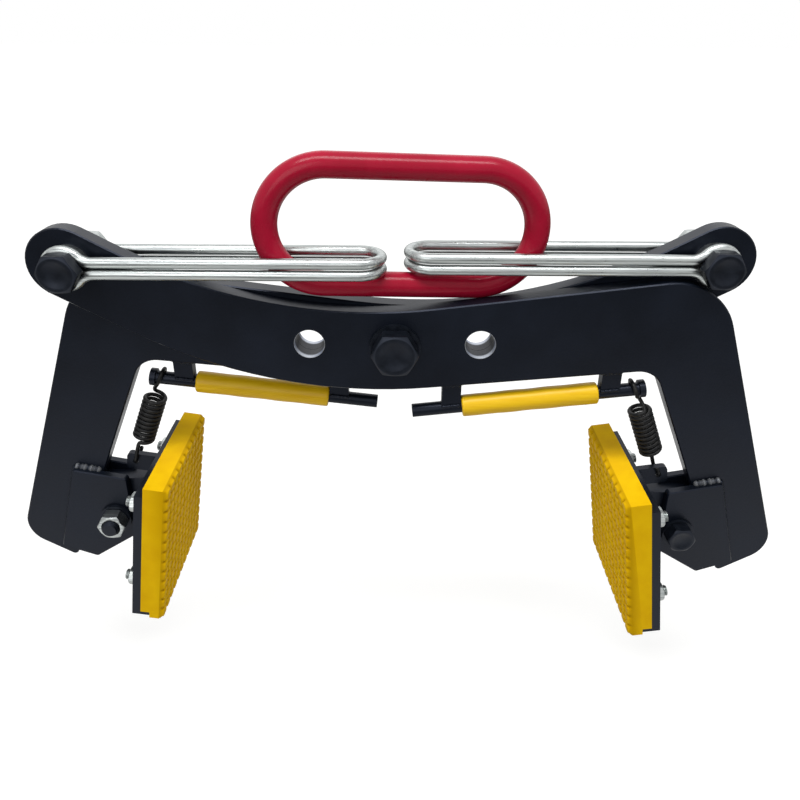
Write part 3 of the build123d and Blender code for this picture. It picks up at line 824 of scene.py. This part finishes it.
def grip_sleeve():
    """Sleeve as a closed profile (bore, rounded end, outside, rounded end) turned about the handle.

    The outside swells slowly along its length by a few tenths, as a pulled-on sleeve does.
    """
    easing = 1.8
    swell_height = 0.18
    swell_room = 0.2
    swell_waves = 7
    outer = grip_radius - swell_room
    bore = handle_bar_radius + fit_gap
    quarter_points = 7
    run_points = 60
    sides = 40
    start = handle_point(hanger_places[0] + hanger_width / 2 + grip_gap)
    end = handle_point(hanger_places[1] - hanger_width / 2 - grip_gap)
    length = np.linalg.norm(end - start)
    along = (end - start) / length
    aside = np.array([0, 1.0, 0])
    upward = np.cross(along, aside)
    quarter = np.linspace(0, pi / 2, quarter_points)
    run = np.linspace(easing, length - easing, run_points)[1:-1]
    swell = swell_height * np.sin(pi * run / length) * np.sin(swell_waves * pi * run / length)
    radius = np.concatenate(
        [
            [bore],
            outer - easing + easing * np.sin(quarter),
            outer + swell,
            outer - easing + easing * np.cos(quarter),
            [bore],
        ]
    )
    place = np.concatenate(
        [
            [0],
            easing - easing * np.cos(quarter),
            run,
            length - easing + easing * np.sin(quarter),
            [length],
        ]
    )
    angle = np.linspace(0, 2 * pi, sides, endpoint=False)[None, :, None]
    circle = np.cos(angle) * aside + np.sin(angle) * upward
    return shell(start + place[:, None, None] * along + radius[:, None, None] * circle, True)


def weld_bead(start, end, outward, radius):
    """Bead along a line: circles whose radius ripples every 3 mm and eases to nothing at both ends.

    Two slower waves make the ripple uneven, and where they swell a thick bead its crest is bare.
    Returns the shell and each point's share of bare crest.
    """
    sides = 12
    step = 0.45
    ripple_length = 3
    bare_radius = 3
    most_bare = 0.3
    start = np.array(start, float)
    run = np.array(end, float) - start
    length = np.linalg.norm(run)
    place = np.linspace(0, length, int(length / step))
    slow = 1 + 0.1 * np.sin(place * 0.9) + 0.06 * np.sin(place * 1.43)
    ripple = slow + 0.09 * np.cos(2 * pi * place / ripple_length)
    ends = np.clip(np.minimum(place, length - place) / radius, 0.05, 1)
    swell = radius * ripple * np.sqrt(ends * (2 - ends))
    path = start + place[:, None] * run / length
    across = np.array(outward, float) - run * np.dot(outward, run) / length**2
    across = across / np.linalg.norm(across)
    crest = np.repeat(np.clip((radius * slow - bare_radius) / bare_radius, 0, most_bare), sides)
    return *tube(path, np.zeros_like(path) + across, swell, sides, False), crest


def leg_welds():
    """Beads that hold the bracket plates on the right leg: top, outer and low edge of each plate."""
    ways = ((0, 1), (1, 0), (0, -1))
    radii = (3.4, 2.2, 2.2)
    lift = 0.6
    corners = hinge + in_plane(np.array(bracket_bead), 0, 1)
    beads = []
    for side in (-1, 1):
        face = corners + [0, side * (plate_thick / 2 + lift), 0]
        for start, end, (out_x, out_z), radius in zip(face, face[1:], ways, radii):
            beads.append(weld_bead(start, end, (out_x, side, out_z), radius))
    return joined(beads)


def hanger_welds():
    """Beads round each hanger's top, under the right arm, and beside its saddle on the handle bar."""
    top_radius = 1.8
    top_drop = 0.3
    saddle_radius = 1.4
    saddle_rise = 3.6
    rate = tan(radians(under_slope))
    beads = []
    for place in hanger_places:
        ends = place + np.array([-1, 1]) * (hanger_width / 2 + bead_proud)
        tops = ends * rate - belly_depth - top_drop
        saddle = [handle_point(x)[2] + saddle_rise for x in ends]
        for side, end_x, end_z in zip((-1, 1), ends, tops):
            y = side * (hanger_half_thick + bead_proud) - arm_y
            for heights, radius in ((tops, top_radius), (saddle, saddle_radius)):
                start, end = [(x, y, z) for x, z in zip(ends, heights)]
                beads.append(weld_bead(start, end, (0, side, -1), radius))
            front, rear = [(end_x, edge * hanger_half_thick - arm_y, end_z) for edge in (-1, 1)]
            beads.append(weld_bead(front, rear, (side, 0, -1), top_radius))
    return joined(beads)


def pad_welds():
    """Beads that hold the hinge lug and the spring tab on the right pad's backing plate."""
    radius = 2.2
    bead_lift = 0.4
    root_x = backing_x - bead_lift
    beads = []
    for half_thick, low, high in (hinge_lug_foot, spring_tab_foot):
        for side in (-1, 1):
            y = side * (half_thick + bead_proud)
            points, faces, crest = weld_bead((root_x, y, low), (root_x, y, high), (-1, side, 0), radius)
            beads.append((in_pad(points), faces, crest))
    return joined(beads)


def pad_fasteners():
    """Four nuts on the right pad's backing and the threaded ends of their studs, in the pad's frame."""
    nut_radius, nut_height = hex_nut_rings(stud_diameter, stud_flats, stud_nut)
    pitch = stud_diameter / 7
    cut = 0.5 * pitch
    end = stud_nut + stud_tail
    tip_length = 0.5
    depth = np.arange(0, end - tip_length, pitch / 6)[:, None]
    crest = stud_diameter / 2 - fit_gap
    stud_radius, stud_height = threaded_end(crest, cut, pitch, depth, end, stud_diameter)
    nuts = []
    studs = []
    for y, z in stud_places:
        seat = np.array([backing_x, y, z])
        for made, radius, height, closed in (
            (nuts, nut_radius, nut_height, True),
            (studs, stud_radius, stud_height, False),
        ):
            rings = (-height, radius * np.cos(round_angle), -radius * np.sin(round_angle))
            points, faces = shell(np.stack(np.broadcast_arrays(*rings), axis=-1) + seat, closed)
            order = -1 if closed else 1
            made.append((in_pad(points), [face[::order] for face in faces]))
    return joined(nuts), joined(studs)


def dress(name, shape, slot, body, side, *nodes, shade=None):
    """Piece of a shape turned to its side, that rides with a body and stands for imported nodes.

    A value that the shape holds for each point becomes the shade, which the finish reads by that name.
    """
    points, faces, *values = shape
    piece = make_piece(name, turned(points, side), faces, slot, *nodes)
    if shade:
        piece.data.attributes.new(shade, "FLOAT", "POINT").data.foreach_set("value", values[0])
    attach(piece, body)


def dress_bolt(name, bolt, nut, body, side):
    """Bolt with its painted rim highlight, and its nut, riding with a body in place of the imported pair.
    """
    dress(f"{name}_bolt_turned", bolt, "black_bolt", body, side, f"{name}_bolt", shade="rim_highlight")
    dress(f"{name}_nut_turned", nut, "zinc", body, side, f"{name}_nut")


dress("ring_bar", lifting_ring(), "red_paint", "ring", 1, "lifting_ring")
dress_bolt("pivot", *bolt_and_nut("pivot", np.zeros(3), -1), "pivot", 1)

for side, lug_side, leg_side, arm, lug_head in (
    (1, "left", "right", "front_arm", -1),
    (-1, "right", "left", "rear_arm", 1),
):
    dress(f"{lug_side}_rod", rod_link(), "zinc", f"{lug_side}_link", side, f"{lug_side}_link")
    for kind, owner, place, outward in (
        ("lug", lug_side, lug, lug_head),
        ("hinge", leg_side, hinge, -1),
    ):
        dress_bolt(f"{owner}_{kind}", *bolt_and_nut(kind, place, outward), arm, side)

    dress(f"{leg_side}_sleeve", grip_sleeve(), "yellow_grip", arm, side, f"{leg_side}_handle_grip")
    dress(f"{leg_side}_bracket_welds", leg_welds(), "black_paint", arm, side, shade="crest")
    dress(f"{leg_side}_hanger_welds", hanger_welds(), "black_paint", arm, side, shade="crest")

    pad = f"{leg_side}_pad"
    dress(f"{leg_side}_pad_welds", pad_welds(), "black_paint", pad, side, shade="crest")
    rubber = rubber_block()
    node = f"{leg_side}_rubber_pad"
    dress(f"{leg_side}_rubber", rubber, "yellow_rubber", pad, side, node, shade="groove")
    nuts, studs = pad_fasteners()
    dress(f"{leg_side}_nuts_turned", nuts, "zinc", pad, side, f"{leg_side}_pad_nuts")
    dress(f"{leg_side}_studs_turned", studs, "zinc", pad, side, f"{leg_side}_pad_studs")

    points, faces, low, high = pad_spring()
    node = f"{leg_side}_pad_spring"
    spring = make_piece(f"{leg_side}_spring", turned(points, side), faces, "black_spring", node)
    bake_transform(spring)


def glow(tree, lit, mirrored, seen):
    """Strength of a glow: one for rays that light the object, with a share added for rays that are
    mirrored or let through, and another for the camera's.
    """
    ray = add_node(tree, "ShaderNodeLightPath", {})
    kinds = {0: ray.outputs["Is Glossy Ray"], 1: ray.outputs["Is Transmission Ray"]}
    clear = add_node(tree, "ShaderNodeMath", kinds, operation="MAXIMUM").outputs[0]
    bounced = {0: clear, 1: mirrored, 2: lit}
    reflected = add_node(tree, "ShaderNodeMath", bounced, operation="MULTIPLY_ADD").outputs[0]
    straight = {0: ray.outputs["Is Camera Ray"], 1: seen, 2: reflected}
    return add_node(tree, "ShaderNodeMath", straight, operation="MULTIPLY_ADD").outputs[0]


def studio_floor():
    """Pale floor, in metres, that lies lower than the legs swing as the jaws close.

    To the camera it glows, more so with its distance from the object as the lamps reach it less, so
    that it ends in plain white and keeps the soft shadow. In reflections it glows in a pool before and
    behind each leg.
    """
    reach = 20.0
    level = -0.15
    pool_middle = (0.45, 0.4, -level)
    mesh = bpy.data.meshes.new("floor")
    corners = [(x * reach, y * reach, level) for x, y in ((-1, -1), (1, -1), (1, 1), (-1, 1))]
    mesh.from_pydata(corners, [], [(0, 1, 2, 3)])
    ground = bpy.data.objects.new("floor", mesh)
    bpy.context.scene.collection.objects.link(ground)

    material, tree, shader, spot = new_finish("pale_studio_floor")
    away = add_node(tree, "ShaderNodeVectorMath", {0: spot}, operation="LENGTH").outputs["Value"]
    fade = {"Value": away, "From Min": 0.4, "From Max": 2.2, "To Min": 0.72, "To Max": 0.9}
    seen = add_node(tree, "ShaderNodeMapRange", fade).outputs[0]
    fold = add_node(tree, "ShaderNodeVectorMath", {0: spot}, operation="ABSOLUTE").outputs[0]
    by_the_legs = {0: fold, 1: pool_middle}
    near = add_node(tree, "ShaderNodeVectorMath", by_the_legs, operation="DISTANCE").outputs["Value"]
    pool = {"Value": near, "From Min": 0.15, "From Max": 0.6, "To Min": 0.8, "To Max": 0.0}
    mirrored = add_node(tree, "ShaderNodeMapRange", pool).outputs[0]
    feed(
        shader,
        {
            "Base Color": linear("#b0b0ae"),
            "Roughness": 0.9,
            "Specular IOR Level": 0.0,
            "Emission Color": (1.0, 1.0, 1.0, 1.0),
            "Emission Strength": glow(tree, 0.0, mirrored, seen),
        },
    )
    mesh.materials.append(material)


def white_surround():
    """Surround that is white to the camera and in reflections, and dimmer as a light on the object."""
    lit = 0.42
    world = bpy.data.worlds.new("white_surround")
    bpy.context.scene.world = world
    world.use_nodes = True
    tree = world.node_tree
    tree.nodes.clear()
    white = {"Color": (1, 1, 1, 1), "Strength": glow(tree, lit, 1 - lit, 1 - lit)}
    surround = add_node(tree, "ShaderNodeBackground", white)
    add_node(tree, "ShaderNodeOutputWorld", {"Surface": surround.outputs[0]})


def studio_lamps():
    """A long soft light overhead and weaker ones in front and behind.

    Each has its place, tip and size, in metres, and its power in watts.
    """
    for name, place, tip, size, power in (
        ("overhead_softbox", (0.0, -0.45, 1.75), (radians(16.7), 0, 0), (1.4, 0.45), 23.0),
        ("front_softbox", (-0.7, -1.9, 1.1), (radians(64), 0, radians(-20)), (1.2, 1.2), 9.0),
        ("rear_softbox", (0.0, 1.3, 1.1), (radians(-60), 0, 0), (1.8, 0.6), 2.5),
    ):
        lamp = bpy.data.lights.new(name, "AREA")
        lamp.shape = "RECTANGLE"
        lamp.size, lamp.size_y = size
        lamp.energy = power
        holder = bpy.data.objects.new(name, lamp)
        holder.location = place
        holder.rotation_euler = tip
        bpy.context.scene.collection.objects.link(holder)


def camera():
    """Camera in the photograph's place, looking down, with its perspective and slight roll."""
    from_pivot = np.array([0, -548.3, 256.1])
    look_down = 24
    roll = 0.37
    lens = bpy.data.cameras.new("camera")
    lens.lens = 31.05
    lens.shift_x = 0.0062
    lens.shift_y = -0.091
    holder = bpy.data.objects.new("camera", lens)
    holder.location = pivot + from_pivot * mm
    holder.rotation_euler = (radians(90 - look_down), 0, 0)
    holder.rotation_euler.rotate_axis("Z", radians(roll))
    bpy.context.scene.collection.objects.link(holder)
    bpy.context.scene.camera = holder


studio_floor()
white_surround()
studio_lamps()
camera()
bpy.context.scene.view_settings.view_transform = "Standard"
